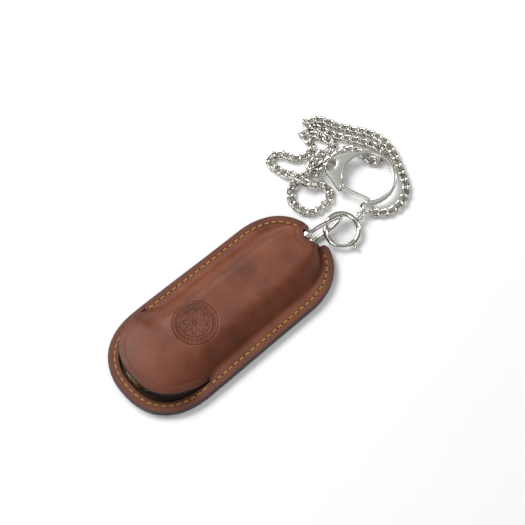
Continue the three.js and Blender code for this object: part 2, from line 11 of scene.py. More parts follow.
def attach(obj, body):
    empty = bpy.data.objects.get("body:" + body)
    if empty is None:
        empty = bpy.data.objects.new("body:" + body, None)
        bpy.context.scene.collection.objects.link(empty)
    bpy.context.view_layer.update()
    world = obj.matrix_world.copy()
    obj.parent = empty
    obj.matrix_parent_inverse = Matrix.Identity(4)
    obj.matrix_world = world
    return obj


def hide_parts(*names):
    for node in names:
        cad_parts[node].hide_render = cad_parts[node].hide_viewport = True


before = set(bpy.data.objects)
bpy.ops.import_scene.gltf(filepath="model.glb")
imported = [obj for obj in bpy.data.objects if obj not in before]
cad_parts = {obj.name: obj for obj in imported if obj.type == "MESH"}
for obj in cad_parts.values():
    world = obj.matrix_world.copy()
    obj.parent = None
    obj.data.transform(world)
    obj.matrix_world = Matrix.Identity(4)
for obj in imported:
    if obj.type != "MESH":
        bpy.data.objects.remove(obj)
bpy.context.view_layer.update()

bl_info = {
    "name": "Knife case with curb chain",
    "version": (1, 0, 0),
    "blender": (4, 5, 0),
    "location": "3D View > Sidebar > Knife case",
    "description": "Builds a leather knife slip case with its spring ring, curb chain and snap hook",
    "category": "Add Mesh",
}

# Shapes are worked out in millimetres and scaled once, as each piece is made.
MM = 0.001

# ---------- leather case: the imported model's sizes, with the tongue a little shorter ----------
CASE_LENGTH = 109.6
CASE_HALF = 24.7
END_LENGTH = 27
END_ROUNDNESS = 2.3
LEATHER = 1.8
FRONT_BASE = 1.9
FLANGE_TOP = FRONT_BASE + LEATHER
CASE_END = CASE_LENGTH / 2
FLANGE_WIDTH = 5.6
STITCH_INSET = 3.0
NOTCH_HALF = 4.5
NOTCH_BOTTOM = 47.0
NOTCH_Y = -0.2
LOBE_ROUNDING = 2.2
CROWN = 12.65
CROWN_PLATEAU = 0.33
TONGUE_START = -24
TONGUE_TIP = -48.9
TONGUE_MIDDLE = 0.3
TONGUE_HIGH = 21.8
TONGUE_LOW = 20.3
TONGUE_ROUNDNESS = 2.4
FACING_WIDTH = 4.8
KNIFE_Y = 0.6
SLOPE_END_HIGH = 7
SLOPE_END_LOW = 7.2
LIFT_HIGH = 5
LIFT_LOW = 4.6
LIFT_START = -23.5
MOUTH_DROOP = 1.2
NOTCH_DROOP = 0.2
LOBE_END = 54.0
SEAM_GAP = 0.04

# ---------- hardware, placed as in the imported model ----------
RING_CENTRE = Vector((63.8, -5.1, 3.6))
RING_TILT = math.atan(0.17)
RING_RADIUS = 7.3
RING_TUBE = 1.15
RING_BOLT = 0.72
RING_OPEN = (-165, -107)
KNOB_ANGLE = -93
HOOK_CENTRE = Vector((88.4, 6, 4.1))
LAYOUT_TURN = math.radians(-40.9)
HOOK_TILT = math.radians(3)
HOOK_THICKNESS = 2.1
HOOK_OUTER = 12.8
HOOK_INNER = 10.9
GATE_PIVOT = Vector((-11.5, -4.5, 0))
GATE_TURN = math.atan2(-6.1, 12.9)
GATE_LENGTH = 13.8

# The chain's run in metres, from the jump ring to the ring in the hook's eye.
CHAIN_ROUTE = [
    (0.0806, -0.0077, 0.0016), (0.0847, -0.0110, 0.0015), (0.0919, -0.0118, 0.0015),
    (0.0982, -0.0084, 0.0015), (0.1029, 0.0009, 0.0015), (0.1063, 0.0117, 0.0015),
    (0.1051, 0.0201, 0.0015), (0.0963, 0.0334, 0.0015), (0.0913, 0.0420, 0.0015),
    (0.0864, 0.0440, 0.0015), (0.0886, 0.0389, 0.0015), (0.0922, 0.0310, 0.0015),
    (0.0981, 0.0226, 0.0015), (0.1020, 0.0151, 0.0015), (0.1017, 0.0098, 0.0015),
    (0.0963, 0.0107, 0.0015), (0.0950, 0.0176, 0.0015), (0.0916, 0.0227, 0.0015),
    (0.0846, 0.0237, 0.0015), (0.0763, 0.0247, 0.0015), (0.0686, 0.0257, 0.0015),
    (0.0610, 0.0245, 0.0015), (0.0568, 0.0196, 0.0015), (0.0586, 0.0119, 0.0015),
    (0.0650, 0.0094, 0.0015), (0.0718, 0.0116, 0.0015), (0.0719, 0.0166, 0.0019),
    (0.0667, 0.0212, 0.0046), (0.0653, 0.0271, 0.0044), (0.0625, 0.0338, 0.0015),
    (0.0621, 0.0412, 0.0015), (0.0672, 0.0407, 0.0015), (0.0720, 0.0341, 0.0015),
    (0.0795, 0.0325, 0.0015), (0.0816, 0.0384, 0.0015), (0.0824, 0.0416, 0.0015),
    (0.0870, 0.0341, 0.0015), (0.0883, 0.0284, 0.0015), (0.0805, 0.0286, 0.0016),
    (0.0726, 0.0262, 0.0046),
]


# ---------- small tools ----------
def smooth(t):
    t = min(max(t, 0.0), 1.0)
    return t * t * (3 - 2 * t)


def mix(a, b, t):
    return a + (b - a) * t


def linear(code):
    """The linear colour of an sRGB hex code, with full alpha."""
    parts = [int(code[i : i + 2], 16) / 255 for i in (1, 3, 5)]
    return tuple(c / 12.92 if c <= 0.04045 else ((c + 0.055) / 1.055) ** 2.4 for c in parts) + (1.0,)


def catmull(points, per_span, closed=False):
    """A smooth centripetal curve through the points, as a dense list."""
    points = [Vector(p) for p in points]
    n = len(points)
    dense = []
    spans = n if closed else n - 1
    for i in range(spans):
        if closed:
            p0, p1, p2, p3 = (points[(i + k) % n] for k in (-1, 0, 1, 2))
        else:
            p1, p2 = points[i], points[i + 1]
            p0 = points[i - 1] if i else 2 * p1 - p2
            p3 = points[i + 2] if i + 2 < n else 2 * p2 - p1
        d0, d1, d2 = (math.sqrt(max((b - a).length, 1e-9)) for a, b in ((p0, p1), (p1, p2), (p2, p3)))
        m1 = ((p1 - p0) / d0 - (p2 - p0) / (d0 + d1) + (p2 - p1) / d1) * d1
        m2 = ((p2 - p1) / d1 - (p3 - p1) / (d1 + d2) + (p3 - p2) / d2) * d1
        for k in range(per_span):
            t = k / per_span
            dense.append(
                p1 * (2 * t**3 - 3 * t**2 + 1) + m1 * (t**3 - 2 * t**2 + t)
                + p2 * (-2 * t**3 + 3 * t**2) + m2 * (t**3 - t**2)
            )
    if not closed:
        dense.append(points[-1].copy())
    return dense


class Track:
    """A polyline that gives the point and direction at a distance along it."""

    def __init__(self, points):
        self.points = points
        self.at_point = [0.0]
        for a, b in zip(points, points[1:]):
            self.at_point.append(self.at_point[-1] + (b - a).length)
        self.length = self.at_point[-1]

    def at(self, distance):
        distance = min(max(distance, 0.0), self.length)
        low, high = 0, len(self.points) - 1
        while high - low > 1:
            middle = (low + high) // 2
            if self.at_point[middle] <= distance:
                low = middle
            else:
                high = middle
        a, b = self.points[low], self.points[high]
        span = self.at_point[high] - self.at_point[low]
        return a.lerp(b, (distance - self.at_point[low]) / span), (b - a).normalized()


def as_mesh(form, name):
    """A finished mesh from a bmesh in millimetres."""
    mesh = bpy.data.meshes.new(name)
    form.to_mesh(mesh)
    form.free()
    return mesh


def evaluated(data, name, modifier=None):
    """The mesh that curve or mesh data gives, with one modifier's settings applied."""
    holder = bpy.data.objects.new(name, data)
    bpy.context.scene.collection.objects.link(holder)
    if modifier:
        kind, settings = modifier
        made = holder.modifiers.new(kind, kind)
        for key, value in settings.items():
            setattr(made, key, value)
    graph = bpy.context.evaluated_depsgraph_get()
    mesh = bpy.data.meshes.new_from_object(holder.evaluated_get(graph))
    bpy.data.objects.remove(holder)
    return mesh


def swept(points, radius, sides=12, closed=False, radii=None):
    """Round wire along a line, with closed ends, as a mesh."""
    curve = bpy.data.curves.new("line", "CURVE")
    curve.dimensions = "3D"
    curve.bevel_depth = radius
    curve.bevel_resolution = sides // 2 - 1
    curve.use_fill_caps = not closed
    spline = curve.splines.new("POLY")
    spline.points.add(len(points) - 1)
    for i, (point, place) in enumerate(zip(spline.points, points)):
        point.co = (*place, 1)
        point.radius = radii[i] if radii else 1
    spline.use_cyclic_u = closed
    return tidy(evaluated(curve, "line"))


def flat_plate(loops, thickness, edge, steps=2):
    """A plate with rounded edges from its outline, and its holes' outlines, on the XY plane."""
    curve = bpy.data.curves.new("plate", "CURVE")
    curve.dimensions = "2D"
    curve.fill_mode = "BOTH"
    curve.extrude = thickness / 2 - edge
    curve.bevel_depth = edge
    curve.bevel_resolution = steps
    curve.offset = -edge
    for loop in loops:
        spline = curve.splines.new("POLY")
        spline.points.add(len(loop) - 1)
        for point, place in zip(spline.points, loop):
            point.co = (place[0], place[1], 0, 1)
        spline.use_cyclic_u = True
    return tidy(evaluated(curve, "plate"))


def tidy(mesh):
    """Merges doubles and points the faces outwards."""
    form = bmesh.new()
    form.from_mesh(mesh)
    bmesh.ops.remove_doubles(form, verts=form.verts, dist=1e-4)
    bmesh.ops.dissolve_degenerate(form, edges=form.edges, dist=1e-5)
    bmesh.ops.recalc_face_normals(form, faces=form.faces)
    form.to_mesh(mesh)
    form.free()
    return mesh


def cut(mesh, cutter):
    """The mesh with the cutter's space taken away."""
    tool = bpy.data.objects.new("cutter", cutter)
    bpy.context.scene.collection.objects.link(tool)
    settings = {"object": tool, "operation": "DIFFERENCE", "solver": "EXACT"}
    result = evaluated(mesh, "blank", ("BOOLEAN", settings))
    bpy.data.objects.remove(tool)
    return tidy(result)


def turned(mesh, matrix):
    mesh.transform(matrix)
    return mesh


def joined(meshes):
    """One mesh of several, each still a closed shell."""
    form = bmesh.new()
    for mesh in meshes:
        form.from_mesh(mesh)
    return as_mesh(form, "joined")


def add_copy(form, mesh, matrix):
    """Adds a copy of the mesh to the form, moved by the matrix."""
    start = len(form.verts)
    form.from_mesh(mesh)
    form.verts.ensure_lookup_table()
    bmesh.ops.transform(form, matrix=matrix, verts=form.verts[start:])


def rod(radius, low, high, at, edge=0.12, segments=28):
    """An upright pin with softly broken edges."""
    form = bmesh.new()
    bmesh.ops.create_cone(
        form, cap_ends=True, segments=segments, radius1=radius, radius2=radius, depth=high - low
    )
    rims = [e for e in form.edges if abs(e.verts[0].co.z - e.verts[1].co.z) < 1e-6]
    bmesh.ops.bevel(
        form, geom=rims, offset=edge, segments=2, profile=0.5, affect="EDGES", material=-1
    )
    bmesh.ops.translate(form, verts=form.verts, vec=(at[0], at[1], (low + high) / 2))
    return as_mesh(form, "rod")


def finish_piece(name, mesh, body, materials, stands_for=(), sharp=40):
    """Makes a mesh in millimetres a piece in metres that rides on a body."""
    mesh.name = name
    mesh.transform(Matrix.Scale(MM, 4))
    for material in materials:
        mesh.materials.append(material)
    mesh.polygons.foreach_set("use_smooth", [True] * len(mesh.polygons))
    mesh.set_sharp_from_angle(angle=math.radians(sharp))
    piece = bpy.data.objects.new(name, mesh)
    bpy.context.scene.collection.objects.link(piece)
    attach(piece, body)
    if stands_for:
        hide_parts(*stands_for)
    return piece


# ---------- materials ----------
def add_node(material, kind, inputs=None, **settings):
    """Adds one node, with its settings, and its inputs as values or as links."""
    node = material.node_tree.nodes.new(kind)
    for key, value in settings.items():
        setattr(node, key, value)
    for key, value in (inputs or {}).items():
        if isinstance(value, bpy.types.NodeSocket):
            material.node_tree.links.new(value, node.inputs[key])
        else:
            node.inputs[key].default_value = value
    return node


def new_material(name):
    """An empty node material, its shader and its object coordinates."""
    material = bpy.data.materials.new(name)
    material.use_nodes = True
    material.node_tree.nodes.clear()
    shader = add_node(material, "ShaderNodeBsdfPrincipled")
    add_node(material, "ShaderNodeOutputMaterial", {"Surface": shader.outputs["BSDF"]})
    place = add_node(material, "ShaderNodeTexCoord").outputs["Object"]
    return material, shader, place


def speckle(material, place, size_mm, detail=3.0, rough=0.55):
    """Noise with features of about that size."""
    return add_node(
        material, "ShaderNodeTexNoise",
        {"Vector": place, "Scale": 1000 / size_mm, "Detail": detail, "Roughness": rough},
    ).outputs["Fac"]


def ramp(material, factor, stops):
    """A colour ramp from (position, hex or grey) stops."""
    node = add_node(material, "ShaderNodeValToRGB", {"Fac": factor})
    elements = node.color_ramp.elements
    while len(elements) < len(stops):
        elements.new(0.5)
    for element, (position, tint) in zip(elements, stops):
        element.position = position
        element.color = linear(tint) if isinstance(tint, str) else (tint, tint, tint, 1)
    return node.outputs["Color"]


def blend(material, factor, a, b, kind="MIX"):
    """Mixes two colours; the inputs are sockets or colours."""
    return add_node(
        material, "ShaderNodeMix", {0: factor, 6: a, 7: b}, data_type="RGBA", blend_type=kind
    ).outputs[2]


def link(material, source, target):
    material.node_tree.links.new(source, target)


def waxed_leather(colours):
    """Vegetable-tanned cowhide, dyed chestnut and waxed: cloudy colour, a tight grain and a soft shine."""
    material, shader, place = new_material("chestnut waxed cowhide")
    cloud = speckle(material, place, 14, 4, 0.6)
    mottle = speckle(material, place, 1.3, 4, 0.7)
    tone = ramp(material, cloud, [(0.3, colours["dark"]), (0.52, colours["mid"]), (0.72, colours["light"])])
    fine = ramp(material, mottle, [(0.3, 0.86), (0.7, 1.0)])
    tone = blend(material, 0.8, tone, fine, "MULTIPLY")
    rim = add_node(material, "ShaderNodeAttribute", attribute_name="rim").outputs["Fac"]
    tone = blend(material, rim, tone, linear("#54281a"))
    press = add_node(material, "ShaderNodeAttribute", attribute_name="press").outputs["Fac"]
    tone = blend(material, press, tone, linear("#451c10"))
    link(material, tone, shader.inputs["Base Color"])
    # The grain's cells are 0.5 mm, coarse enough to show.
    cells = add_node(
        material, "ShaderNodeTexVoronoi", {"Vector": place, "Scale": 2000.0, "Randomness": 1.0},
        feature="SMOOTH_F1",
    ).outputs["Distance"]
    grain = add_node(
        material, "ShaderNodeMath", {0: cells, 1: speckle(material, place, 0.35, 4, 0.7)}, operation="ADD"
    ).outputs[0]
    pull = add_node(
        material, "ShaderNodeMath", {0: grain, 1: speckle(material, place, 5, 2, 0.5)}, operation="ADD"
    ).outputs[0]
    bump = add_node(material, "ShaderNodeBump", {"Height": pull, "Strength": 0.35, "Distance": 0.00012})
    link(material, bump.outputs["Normal"], shader.inputs["Normal"])
    gloss = ramp(material, mottle, [(0.25, 0.47), (0.75, 0.6)])
    link(material, gloss, shader.inputs["Roughness"])
    shader.inputs["IOR"].default_value = 1.5
    shader.inputs["Specular IOR Level"].default_value = 0.38
    return material


def flesh_side():
    """The undyed flesh side of the hide inside the case, coloured dark brown: matt and fibrous."""
    material, shader, place = new_material("dark flesh side of the hide")
    fibre = speckle(material, place, 0.7, 5, 0.75)
    tone = ramp(material, fibre, [(0.3, "#281b11"), (0.6, "#3d2a1a"), (0.8, "#563e28")])
    link(material, tone, shader.inputs["Base Color"])
    bump = add_node(material, "ShaderNodeBump", {"Height": fibre, "Strength": 0.6, "Distance": 0.0002})
    link(material, bump.outputs["Normal"], shader.inputs["Normal"])
    shader.inputs["Roughness"].default_value = 0.92
    return material


def edge_paint():
    """Burnished black edge paint: near black, with a dull shine and small ripples."""
    material, shader, place = new_material("burnished black edge paint")
    ripple = speckle(material, place, 0.8, 3, 0.6)
    tone = ramp(material, ripple, [(0.35, "#191315"), (0.65, "#271f21")])
    link(material, tone, shader.inputs["Base Color"])
    bump = add_node(material, "ShaderNodeBump", {"Height": ripple, "Strength": 0.4, "Distance": 0.0001})
    link(material, bump.outputs["Normal"], shader.inputs["Normal"])
    link(material, ramp(material, ripple, [(0.3, 0.34), (0.7, 0.5)]), shader.inputs["Roughness"])
    return material


def waxed_thread(tint):
    """Waxed polyester thread: golden ochre, with its plies twisted round the stitch."""
    material, shader, place = new_material("waxed polyester thread")
    fuzz = speckle(material, place, 0.3, 3, 0.6)
    ply = add_node(
        material, "ShaderNodeTexWave", {"Vector": place, "Scale": 700.0, "Distortion": 1.5},
        bands_direction="DIAGONAL",
    ).outputs["Fac"]
    tone = blend(material, fuzz, linear("#8a6118"), linear(tint))
    tone = blend(material, 0.35, tone, ramp(material, ply, [(0.2, 0.55), (0.7, 1.0)]), "MULTIPLY")
    link(material, tone, shader.inputs["Base Color"])
    bump = add_node(material, "ShaderNodeBump", {"Height": ply, "Strength": 0.5, "Distance": 0.0001})
    link(material, bump.outputs["Normal"], shader.inputs["Normal"])
    shader.inputs["Roughness"].default_value = 0.6
    shader.inputs["Sheen Weight"].default_value = 0.25
    return material


def metal(name, low, high, roughness, brushed_mm=None, bump_strength=0.06):
    """Bare or plated metal: two close tones, uneven polish, and fine scratches or brush marks."""
    material, shader, place = new_material(name)
    haze = speckle(material, place, 6, 3, 0.6)
    tone = ramp(material, haze, [(0.3, low), (0.7, high)])
    link(material, tone, shader.inputs["Base Color"])
    shader.inputs["Metallic"].default_value = 1.0
    wear = speckle(material, place, 1.1, 5, 0.7)
    link(
        material, ramp(material, wear, [(0.3, max(roughness - 0.04, 0.03)), (0.75, roughness + 0.07)]),
        shader.inputs["Roughness"],
    )
    lines = place
    if brushed_mm:
        lines = add_node(
            material, "ShaderNodeMapping", {"Vector": place, "Scale": (0.06, 1.0, 1.0)}
        ).outputs["Vector"]
    marks = speckle(material, lines, brushed_mm or 0.9, 4, 0.7)
    bump = add_node(
        material, "ShaderNodeBump", {"Height": marks, "Strength": bump_strength, "Distance": 0.0001}
    )
    link(material, bump.outputs["Normal"], shader.inputs["Normal"])
    return material


def polished_horn():
    """Polished dark horn: brown-black with long paler streaks and a deep gloss."""
    material, shader, place = new_material("polished dark horn")
    along = add_node(
        material, "ShaderNodeMapping", {"Vector": place, "Scale": (0.12, 1.0, 1.0)}
    ).outputs["Vector"]
    streak = speckle(material, along, 2.2, 5, 0.65)
    tone = ramp(material, streak, [(0.3, "#140d09"), (0.55, "#2b1d15"), (0.75, "#5a4230")])
    link(material, tone, shader.inputs["Base Color"])
    bump = add_node(material, "ShaderNodeBump", {"Height": streak, "Strength": 0.1, "Distance": 0.0001})
    link(material, bump.outputs["Normal"], shader.inputs["Normal"])
    shader.inputs["Roughness"].default_value = 0.22
    shader.inputs["Coat Weight"].default_value = 0.3
    return material


def shaded_awl_hole():
    """The bottom of an awl hole: bare leather in shade."""
    material, shader, place = new_material("awl hole in leather")
    link(
        material, ramp(material, speckle(material, place, 0.4), [(0.3, "#120805"), (0.7, "#26110a")]),
        shader.inputs["Base Color"],
    )
    shader.inputs["Roughness"].default_value = 0.95
    return material


MATERIALS = {}


def material(name):
    """Each finish is made once, when a piece first needs it."""
    settings = bpy.context.scene.knife_case
    makers = {
        "leather": lambda: waxed_leather({"dark": "#5d2d19", "mid": "#703920", "light": "#7f4529"}),
        "flesh": flesh_side,
        "edge": edge_paint,
        "thread": lambda: waxed_thread("#c7962f"),
        # The awl holes' near-black finish is painted shade.
        "hole": shaded_awl_hole,
        "polished": lambda: metal("polished nickel plate", "#c9c6be", "#e0ddd5", settings.polish, None, 0.03),
        "satin": lambda: metal("satin nickel plate", "#c6c6be", "#cfcfc8", 0.26, 0.35, 0.02),
        "silver": lambda: metal("nickel silver", "#cfcdb9", "#dcdac8", 0.2),
        "brass": lambda: metal("rolled brass", "#a8843f", "#c19a55", 0.3, 0.5),
        "steel": lambda: metal("ground steel", "#a6a8ab", "#bcbec0", 0.26, 0.3),
        "horn": polished_horn,
    }
    if name not in MATERIALS:
        MATERIALS[name] = makers[name]()
    return MATERIALS[name]


def nickel_piece(name, mesh, body, stands_for, sharp=60):
    """A piece of polished nickel plate."""
    return finish_piece(name, mesh, body, [material("polished")], (stands_for,), sharp)


# ---------- the case's shape ----------
def case_half(x):
    past = (abs(x) - (CASE_END - END_LENGTH)) / END_LENGTH
    taper = mix(CASE_HALF, CASE_HALF - 0.8, smooth((x + 30) / 60))
    if past <= 0:
        return taper
    return taper * max(1 - past**END_ROUNDNESS, 0) ** (1 / END_ROUNDNESS)


def tongue_width(side):
    return TONGUE_HIGH if side > 0 else TONGUE_LOW


def tongue_reach(x, side):
    share = min(max((TONGUE_START - x) / (TONGUE_START - TONGUE_TIP), 0), 1)
    return tongue_width(side) * (1 - share**TONGUE_ROUNDNESS) ** (1 / TONGUE_ROUNDNESS)


def front_high(x):
    return TONGUE_MIDDLE + tongue_reach(x, 1) if x < TONGUE_START else case_half(x)


def front_low(x):
    return TONGUE_MIDDLE - tongue_reach(x, -1) if x < TONGUE_START else -case_half(x)


def slope_end(x, side):
    """How far from the middle the crown's slope ends: at the flange, or at the tongue's edge."""
    beside = min(case_half(x) - FLANGE_WIDTH, case_half(min(x + 4.2, CASE_END)) - 2)
    least = SLOPE_END_HIGH if side > 0 else SLOPE_END_LOW
    return mix(max(beside, least), tongue_width(side), smooth((-17 - x) / 9))


def edge_lift(x, side):
    """How far the tongue's edge stands up off the seam, sooner on the +Y side."""
    past = LIFT_START - x
    return LIFT_HIGH * smooth(past / 8) if side > 0 else LIFT_LOW * smooth(past / 14)


def front_top(x, y):
    """The height of the front panel's face: flat at the seam, crowned over the knife."""
    free = smooth((-17 - x) / 9)
    off = y - mix(KNIFE_Y, TONGUE_MIDDLE, free)
    reach = slope_end(x, off)
    share = abs(off) / reach
    past = min(max((share - CROWN_PLATEAU) / (1 - CROWN_PLATEAU), 0), 1)
    fall = mix(smooth(past**1.5), min(share, 1) ** 2.4, free)
    droop = MOUTH_DROOP * smooth((-38 - x) / 12) + NOTCH_DROOP * smooth((x - 36) / 14)
    edge = FLANGE_TOP + edge_lift(x, off)
    lobe = smooth((x - 49.8) / 2)
    height = edge + (CROWN - droop - edge) * (1 - fall) * (1 - lobe)
    # The leather has taken a few soft dents, and folds where it turns down beside the notch.
    wander = noise.noise(Vector((x / 17, y / 9, 3.1))) * 0.5 + noise.noise(Vector((x / 7, y / 6, 8.4))) * 0.14
    height += wander * 4 * fall * (1 - fall)
    fold = smooth((x - 30) / 12) * math.exp(-(((abs(off) - reach) / 0.9) ** 2))
    return height - 0.45 * fold


def notch_half(x):
    """Half the notch's width at x, flaring at the rounded lobes."""
    if x <= NOTCH_BOTTOM:
        return 0.0
    if x < NOTCH_BOTTOM + NOTCH_HALF:
        return math.sqrt(NOTCH_HALF**2 - (NOTCH_BOTTOM + NOTCH_HALF - x) ** 2)
    past = min(x - (LOBE_END - LOBE_ROUNDING), LOBE_ROUNDING)
    return NOTCH_HALF + (LOBE_ROUNDING - math.sqrt(LOBE_ROUNDING**2 - past**2) if past > 0 else 0)


def lobe_tip():
    """Where a lobe's outer edge meets the notch's wall."""
    low, high = 52.6, 53.999
    for _ in range(40):
        middle = (low + high) / 2
        if case_half(middle) > notch_half(middle) + abs(NOTCH_Y) + 0.01:
            low = middle
        else:
            high = middle
    return low


def cosine_steps(a, b, count, both=True):
    if both:
        return [mix(a, b, 0.5 - 0.5 * math.cos(math.pi * i / count)) for i in range(count + 1)]
    return [mix(a, b, math.sin(math.pi / 2 * i / count)) for i in range(count + 1)]


def notch_rows():
    turns = [math.pi / 2 * i / 16 for i in range(1, 17)]
    return [NOTCH_BOTTOM + NOTCH_HALF * (1 - math.cos(t)) for t in turns]


def edge_point(inset, x, side):
    """The point of the case's edge at x, moved inwards, on the side of +Y or -Y."""
    step = 0.02
    slope = (case_half(min(x + step, CASE_END)) - case_half(max(x - step, -CASE_END))) / (2 * step)
    long = math.hypot(slope, 1)
    return Vector((x + inset * slope / long, side * (case_half(x) - inset / long), 0))


def outline(inset, from_x, to_x, side, count=200):
    """Points along the case's edge, moved inwards."""
    return [edge_point(inset, mix(from_x, to_x, smooth(i / count)), side) for i in range(count + 1)]


def mouth_outline(inset, from_x, to_x):
    """The edge from the +Y side round the mouth's end to the -Y side."""
    tip = -CASE_END + 0.002
    high = [edge_point(inset, x, 1) for x in cosine_steps(from_x, tip, 90, both=False)]
    low = [edge_point(inset, x, -1) for x in cosine_steps(to_x, tip, 120, both=False)]
    return high + low[::-1]


def emblem(x, y):
    """How deep a plain ornament of rings, beads and petals is pressed in at a place, from 0 to 1."""
    settings = bpy.context.scene.knife_case
    dx, dy = x - settings.emblem_x, y - settings.emblem_y
    r, turn = math.hypot(dx, dy), math.atan2(dy, dx)
    if r > 10.5:
        return 0.0

    def line(distance, width):
        return 1 - smooth(abs(distance) / width)

    depth = max(line(r - 9.75, 0.38), line(r - 6.3, 0.36))
    step = 2 * math.pi / 26
    off = (turn + step / 2) % step - step / 2
    bead = math.hypot(r - 8.05, off * 8.05)
    depth = max(depth, line(bead - 0.62, 0.42))
    reach = 5.3 * abs(math.cos(4 * turn)) ** 0.55
    depth = max(depth, line(r - reach, 0.42) if r > 1.4 else 0)
    depth = max(depth, line(r - 0.9, 0.5))
    return depth


def leather_slab(name, parts, top, thickness, groove=True, refine=None, pressed=None):
    """A leather panel: flat grids laid out in plan, given thickness, then raised to its surface."""
    form = bmesh.new()
    for columns, rows, place in parts:
        made = bmesh.ops.create_grid(form, x_segments=columns, y_segments=rows, size=0.5)
        for v in made["verts"]:
            x, y = place(v.co.x + 0.5, v.co.y + 0.5)
            v.co = Vector((x, y, 0))
    bmesh.ops.remove_doubles(form, verts=form.verts, dist=0.003)
    if refine:
        picked = {e for f in form.faces if refine(f.calc_center_median()) for e in f.edges}
        bmesh.ops.subdivide_edges(form, edges=list(picked), cuts=3, use_grid_fill=True)
    bmesh.ops.dissolve_degenerate(form, edges=form.edges, dist=1e-4)
    border = []
    for e in form.edges:
        if e.is_boundary:
            a, b = (v.co.copy() for v in e.verts)
            # The butt seam between the front and the mouth's band is skived flat.
            if max(abs(a.x - TONGUE_START), abs(b.x - TONGUE_START)) < 0.3:
                continue
            steps = max(int((b - a).length / 0.15), 1)
            border += [a.lerp(b, k / steps) for k in range(steps)]
    tree = KDTree(len(border))
    for i, p in enumerate(border):
        tree.insert(p, i)
    tree.balance()
    bmesh.ops.recalc_face_normals(form, faces=form.faces)
    bmesh.ops.solidify(form, geom=form.faces[:], thickness=thickness)
    bmesh.ops.recalc_face_normals(form, faces=form.faces)
    level = [v.co.z for v in form.verts]
    split = (max(level) + min(level)) / 2
    rim_layer = form.verts.layers.float.new("rim")
    press_layer = form.verts.layers.float.new("press")
    rounding = 0.4
    for v in form.verts:
        upper = v.co.z > split
        flat = Vector((v.co.x, v.co.y, 0))
        inset = tree.find(flat)[2]
        height = top(v.co.x, v.co.y)
        near = max(rounding - inset, 0)
        drop = rounding - math.sqrt(max(rounding**2 - near**2, 0))
        if upper:
            if groove:
                drop += 0.16 * math.exp(-(((inset - STITCH_INSET) / 0.55) ** 2))
            if pressed:
                mark = pressed(v.co.x, v.co.y)
                drop += 0.3 * mark
                v[press_layer] = 0.55 * mark
            v[rim_layer] = 0.55 * (1 - smooth((inset - 0.3) / 4.2))
            v.co.z = height - drop
        else:
            v.co.z = height - thickness + drop * 0.6
    for f in form.faces:
        f.normal_update()
        insets = [tree.find(Vector((v.co.x, v.co.y, 0)))[2] for v in f.verts]
        if max(insets) < 0.3:
            f.material_index = 1
        elif f.normal.z < -0.2:
            f.material_index = 2
    return as_mesh(form, name)


def panel_layout(rows, across, seam_y, high, low):
    """A panel's two halves, which meet on a seam line and part at the notch."""
    rows = rows + notch_rows()
    rows += cosine_steps(NOTCH_BOTTOM + NOTCH_HALF, lobe_tip(), 12, both=False)[1:]
    count = len(rows) - 1

    def half(side):
        def place(u, v):
            x = rows[round(u * count)]
            seam = seam_y * (1 - smooth((x + 40) / 30))
            inner = mix(seam, NOTCH_Y, smooth((x - 30) / 15)) + side * notch_half(x)
            outer = high(x) if side > 0 else low(x)
            even = 0.5 - 0.5 * math.cos(math.pi * v)
            spacing = mix(math.sin(math.pi / 2 * v), even, smooth((x - 36) / 10))
            return x, mix(inner, outer, spacing)

        return place

    return [(count, across, half(1)), (count, across, half(-1))]


def front_layout():
    rows = cosine_steps(TONGUE_TIP + 0.01, TONGUE_START - SEAM_GAP, 60)
    rows += cosine_steps(TONGUE_START + SEAM_GAP, NOTCH_BOTTOM, 100)
    return panel_layout(rows, 52, TONGUE_MIDDLE, front_high, front_low)


def back_layout():
    rows = cosine_steps(-CASE_END + 0.01, NOTCH_BOTTOM, 90)
    return panel_layout(rows, 26, 0, case_half, lambda x: -case_half(x))


def facing_layout():
    """The band round the mouth, in strips across its width, clear of the front panel."""
    track = Track(mouth_outline(0, TONGUE_START - 0.06, TONGUE_START - 0.06))
    count = 200
    widths = []
    stations = []
    for i in range(count + 1):
        point, along = track.at(track.length * i / count)
        inward = Vector((along.y, -along.x, 0))
        if inward.dot(Vector((-20, 0, 0)) - point) < 0:
            inward = -inward
        width = 0.0
        while width < FACING_WIDTH:
            probe = point + inward * (width + 0.35)
            under = probe.x > TONGUE_TIP and front_low(probe.x) < probe.y < front_high(probe.x)
            if under and front_top(probe.x, probe.y) - LEATHER < FLANGE_TOP + 0.1:
                break
            width += 0.05
        stations.append((point, inward))
        widths.append(max(width, 0.35))

    def place(u, v):
        i = round(u * count)
        point, inward = stations[i]
        spot = point + inward * widths[i] * (0.5 - 0.5 * math.cos(math.pi * v))
        return spot.x, spot.y

    return [(count, 18, place)]


# ---------- stitching ----------
def stitch_mesh(length, radius):
    """One stitch: a short length of thread whose ends dive into the leather."""
    form = bmesh.new()
    bmesh.ops.create_uvsphere(form, u_segments=8, v_segments=7, radius=1)
    bmesh.ops.rotate(form, verts=form.verts, cent=(0, 0, 0), matrix=Matrix.Rotation(math.pi / 2, 3, "Y"))
    for v in form.verts:
        full = math.copysign(abs(v.co.x) ** 0.8, v.co.x)
        v.co = Vector((full * length / 2, v.co.y * radius, v.co.z * radius * 0.85 - 0.32 * full**4))
    return as_mesh(form, "stitch")


